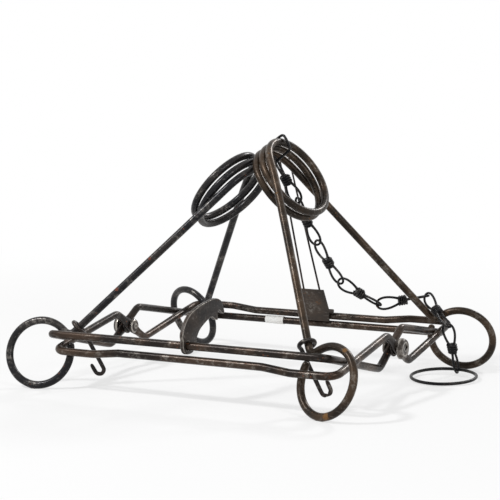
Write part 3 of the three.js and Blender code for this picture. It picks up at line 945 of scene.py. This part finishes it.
@dataclass
class Chain:
    """The wire chain: its links, the wraps at their waists and the end ring.

    Each link runs from one of the joints to the next, and all of them but the last hang on the right spring.
    """

    dresser: Dresser
    joints_mm: tuple[Triple, ...] = (
        (13.9, 14.3, 201.9), (27.0, 33.0, 163.8), (38.4, 50.8, 122.9), (52.5, 71.8, 84.5),
        (79.3, 101.0, 61.1), (121.8, 116.3, 69.8), (153.2, 91.2, 47.4), (158.1, 104.5, 3.6),
    )
    wrap_turns: float = 3.5
    wrap_length: float = 8.0 * MM
    wrap_radius: float = 3.9 * MM
    wrap_wire: float = 1.1 * MM
    wrap_steps: int = 22
    wire_sides: int = 8

    def build(self) -> None:
        """Dresses the chain and winds the wraps, link by link."""
        last = len(self.joints_mm) - 1
        self.dresser.dress("chain_anchor_link", "right_spring", Finish.CHAIN, RING_WIRE)
        for number in range(1, last + 1):
            body = "last_link" if number == last else "right_spring"
            self.dresser.dress(f"chain_link_{number}", body, Finish.CHAIN, THIN_WIRE)
        self.dresser.dress("chain_end_ring", "end_ring", Finish.CHAIN, RING_WIRE)
        tree = self.wrap_tree()
        self.wind("chain_wraps", tree, range(last - 1), "right_spring")
        self.wind("last_link_wrap", tree, range(last - 1, last), "last_link")

    def wrap_tree(self) -> Tree:
        """Builds the tree that winds one wrap at each point.

        Returns:
            The Geometry Nodes tree, with its sizes as inputs.
        """
        tree = bpy.data.node_groups.new("wire_wraps", "GeometryNodeTree")
        tree.interface.new_socket("Geometry", in_out="INPUT", socket_type="NodeSocketGeometry")
        for key in ("Turns", "Length", "Radius", "Wire"):
            tree.interface.new_socket(key, in_out="INPUT", socket_type="NodeSocketFloat")
        tree.interface.new_socket("Geometry", in_out="OUTPUT", socket_type="NodeSocketGeometry")
        start = tree.nodes.new("NodeGroupInput")
        end = tree.nodes.new("NodeGroupOutput")
        coil = tree.nodes.new("GeometryNodeCurveSpiral")
        coil.inputs["Resolution"].default_value = self.wrap_steps
        section = tree.nodes.new("GeometryNodeCurvePrimitiveCircle")
        section.inputs["Resolution"].default_value = self.wire_sides
        wire = tree.nodes.new("GeometryNodeCurveToMesh")
        wire.inputs["Fill Caps"].default_value = True
        turn = tree.nodes.new("GeometryNodeInputNamedAttribute")
        turn.data_type = "QUATERNION"
        turn.inputs["Name"].default_value = "turn"
        place = tree.nodes.new("GeometryNodeInstanceOnPoints")
        real = tree.nodes.new("GeometryNodeRealizeInstances")
        shade = tree.nodes.new("GeometryNodeSetShadeSmooth")
        paint = tree.nodes.new("GeometryNodeSetMaterial")
        paint.inputs["Material"].default_value = self.dresser.finishes.made[Finish.CHAIN]
        for source, output, target, entry in (
            (start, "Turns", coil, "Rotations"),
            (start, "Length", coil, "Height"),
            (start, "Radius", coil, "Start Radius"),
            (start, "Radius", coil, "End Radius"),
            (start, "Wire", section, "Radius"),
            (coil, "Curve", wire, "Curve"),
            (section, "Curve", wire, "Profile Curve"),
            (start, "Geometry", place, "Points"),
            (wire, "Mesh", place, "Instance"),
            (turn, "Attribute", place, "Rotation"),
            (place, "Instances", real, "Geometry"),
            (real, "Geometry", shade, "Geometry"),
            (shade, "Geometry", paint, "Geometry"),
            (paint, "Geometry", end, "Geometry"),
        ):
            tree.links.new(source.outputs[output], target.inputs[entry])
        return tree

    def wind(self, name: str, tree: Tree, links: range, body: str) -> None:
        """Winds wire round the waist of each link.

        Args:
            name: The new piece's name.
            tree: The tree that winds the wraps.
            links: The links, counted from nought.
            body: The body that the piece rides on.
        """
        points = [Vector(p) * MM + SHIFT for p in self.joints_mm]
        along = [(points[k + 1] - points[k]).normalized() for k in links]
        starts = [(points[k] + points[k + 1]) / 2 - way * self.wrap_length / 2
                  for k, way in zip(links, along)]
        mesh = bpy.data.meshes.new(name)
        mesh.from_pydata([tuple(p) for p in starts], [], [])
        turn = mesh.attributes.new("turn", "QUATERNION", "POINT")
        for slot, way in zip(turn.data, along):
            slot.value = way.to_track_quat("Z", "Y")
        piece = put_in_scene(name, mesh)
        winding = piece.modifiers.new("winding", "NODES")
        winding.node_group = tree
        sizes = {"Turns": self.wrap_turns, "Length": self.wrap_length,
                 "Radius": self.wrap_radius, "Wire": self.wrap_wire}
        for socket in tree.interface.items_tree:
            if socket.in_out == "INPUT" and socket.name in sizes:
                winding[socket.identifier] = sizes[socket.name]
        plain_mesh(piece)
        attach(piece, body)
        LOG.info("%s: %d faces", name, len(piece.data.polygons))


@dataclass(frozen=True)
class Lamp:
    """One square studio lamp: its place and size in metres, and its power in watts."""

    name: str
    place: Triple
    power: float
    size: float


@dataclass
class Studio:
    """The pale floor, the soft lamps and the camera.

    The camera's centre and focal length are shares of the photograph's width.
    """

    azimuth: float = 28.30786
    elevation: float = 7.3107
    distance: float = 1.5
    aim: Triple = (-0.553 * MM, -0.118 * MM, 0.1)
    focal_share: float = 1636.249 / 500
    roll: float = -0.25382
    centre_share: Pair = (254.7971 / 500, 271.134 / 500)
    sensor_mm: float = 36.0
    light_from_world: float = 0.40
    floor_radius: float = 9.0
    floor_sides: int = 96
    floor_drop: float = 0.2 * MM
    floor_colour: Triple = (0.9, 0.9, 0.9)
    floor_roughness: float = 0.9
    floor_specular: float = 0.1
    floor_fade: Pair = (0.25, 1.1)
    floor_lift: float = 0.62
    lamp_aim: Triple = (0.0, 0.0, 0.08)
    lamps: tuple[Lamp, ...] = (
        Lamp("key", (-0.9, -1.2, 1.6), 24.0, 0.22),
        Lamp("fill", (1.5, -0.9, 0.9), 6.0, 0.35),
        Lamp("rim", (0.4, 1.5, 1.3), 12.0, 0.30),
    )

    def build(self) -> None:
        """Sets up all of the scene that isn't the trap."""
        self.set_world()
        self.lay_floor()
        self.hang_lamps()
        self.set_camera()
        bpy.context.scene.view_settings.view_transform = "Standard"

    def background_mask(self, tree: Tree) -> Socket:
        """Marks the rays that see the background itself.

        Args:
            tree: The tree that gets the mask.

        Returns:
            A value of 1 on the camera's, glossy and transmission rays.
        """
        ray = tree.nodes.new("ShaderNodeLightPath")
        seen = calc(tree, "MAXIMUM", ray.outputs["Is Camera Ray"], ray.outputs["Is Glossy Ray"])
        return calc(tree, "MAXIMUM", seen, ray.outputs["Is Transmission Ray"])

    def set_world(self) -> None:
        """Lights evenly from all round, with a white background."""
        world = bpy.data.worlds.new("studio")
        bpy.context.scene.world = world
        world.use_nodes = True
        tree = world.node_tree
        shade = tree.nodes["Background"]
        shade.inputs["Color"].default_value = (1.0, 1.0, 1.0, 1.0)
        extra = calc(tree, "MULTIPLY", self.background_mask(tree), 1.0 - self.light_from_world)
        tree.links.new(calc(tree, "ADD", self.light_from_world, extra), shade.inputs["Strength"])

    def lay_floor(self) -> None:
        """Lays a round pale floor that fades to the background's white."""
        shape = bmesh.new()
        bmesh.ops.create_circle(shape, cap_ends=True, segments=self.floor_sides, radius=self.floor_radius)
        mesh = bpy.data.meshes.new("floor")
        shape.to_mesh(mesh)
        shape.free()
        floor = put_in_scene("floor", mesh)
        floor.location.z = -self.floor_drop
        material, tree, shader = fresh_material("pale_floor")
        shader.inputs["Base Color"].default_value = (*self.floor_colour, 1.0)
        shader.inputs["Roughness"].default_value = self.floor_roughness
        shader.inputs["Specular IOR Level"].default_value = self.floor_specular
        reach = tree.nodes.new("ShaderNodeVectorMath")
        reach.operation = "LENGTH"
        tree.links.new(object_place(tree), reach.inputs[0])
        far = ramp(tree, reach.outputs["Value"], self.floor_fade)
        lift = calc(tree, "ADD", self.floor_lift, calc(tree, "MULTIPLY", far, 1.0 - self.floor_lift))
        glow = tree.nodes.new("ShaderNodeEmission")
        mix = tree.nodes.new("ShaderNodeMixShader")
        tree.links.new(calc(tree, "MULTIPLY", lift, self.background_mask(tree)), mix.inputs[0])
        tree.links.new(shader.outputs[0], mix.inputs[1])
        tree.links.new(glow.outputs[0], mix.inputs[2])
        tree.links.new(mix.outputs[0], tree.nodes["Material Output"].inputs["Surface"])
        mesh.materials.append(material)

    def hang_lamps(self) -> None:
        """Hangs a key, a fill and a rim lamp, all broad."""
        for lamp in self.lamps:
            light = bpy.data.lights.new(lamp.name, "AREA")
            light.energy = lamp.power
            light.size = lamp.size
            holder = put_in_scene(lamp.name, light)
            holder.location = lamp.place
            towards = Vector(self.lamp_aim) - Vector(lamp.place)
            holder.rotation_euler = towards.to_track_quat("-Z", "Y").to_euler()

    def set_camera(self) -> None:
        """Sets the camera where the photograph was taken from."""
        turn, rise = math.radians(self.azimuth), math.radians(self.elevation)
        back = Vector((math.sin(turn) * math.cos(rise), -math.cos(turn) * math.cos(rise), math.sin(rise)))
        lens = bpy.data.cameras.new("camera")
        lens.sensor_width = self.sensor_mm
        lens.lens = self.sensor_mm * self.focal_share
        lens.shift_x = 0.5 - self.centre_share[0]
        lens.shift_y = self.centre_share[1] - 0.5
        camera = put_in_scene("camera", lens)
        look = (-back).to_track_quat("-Z", "Y").to_matrix().to_4x4()
        place = Matrix.Translation(Vector(self.aim) + back * self.distance)
        camera.matrix_world = place @ look @ Matrix.Rotation(math.radians(self.roll), 4, "Z")
        bpy.context.scene.camera = camera


def main() -> None:
    """Builds the studio and every sub-assembly in order."""
    logging.basicConfig(level=logging.INFO, format="%(message)s")
    Studio().build()
    finishes = Finishes()
    dresser = Dresser(finishes)
    JawPair(dresser).build()
    SpringPair(dresser).build()
    TriggerSet(dresser).build()
    TapeWrap(finishes).build()
    Chain(dresser).build()


if __name__ == "__main__":
    main()
